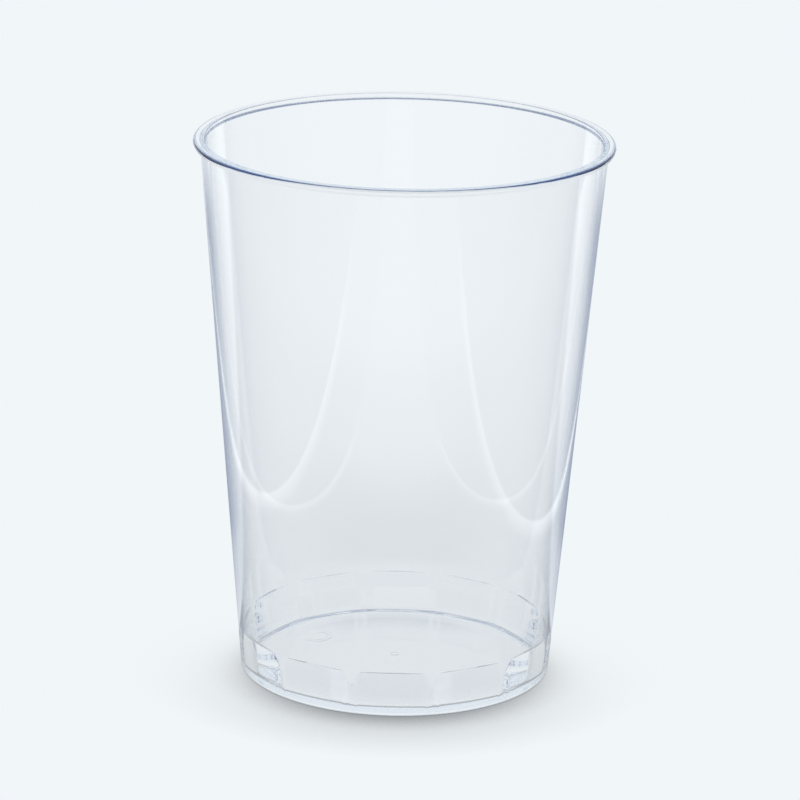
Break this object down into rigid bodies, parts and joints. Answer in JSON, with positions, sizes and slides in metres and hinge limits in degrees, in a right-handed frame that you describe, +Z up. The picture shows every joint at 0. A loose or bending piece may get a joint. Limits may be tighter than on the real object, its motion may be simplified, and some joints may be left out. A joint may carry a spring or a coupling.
{
  "type": "verrine cup",
  "caption": "Clear tapered dessert cup with a rounded lip, a shallow foot ring and flats inside the base that let cups stack.",
  "frame": {"origin": "middle of the foot ring's standing face, on the table", "axes": "+Z up along the cup's axis to the open mouth; -Y is the side that the picture shows in front"},
  "size_m": [0.066, 0.066, 0.0868],
  "materials": {
    "clear_plastic": "polished clear polystyrene with a faint blue tint"
  },
  "bodies": {
    "root": {"cup": "clear_plastic"}
  },
  "joints": []
}
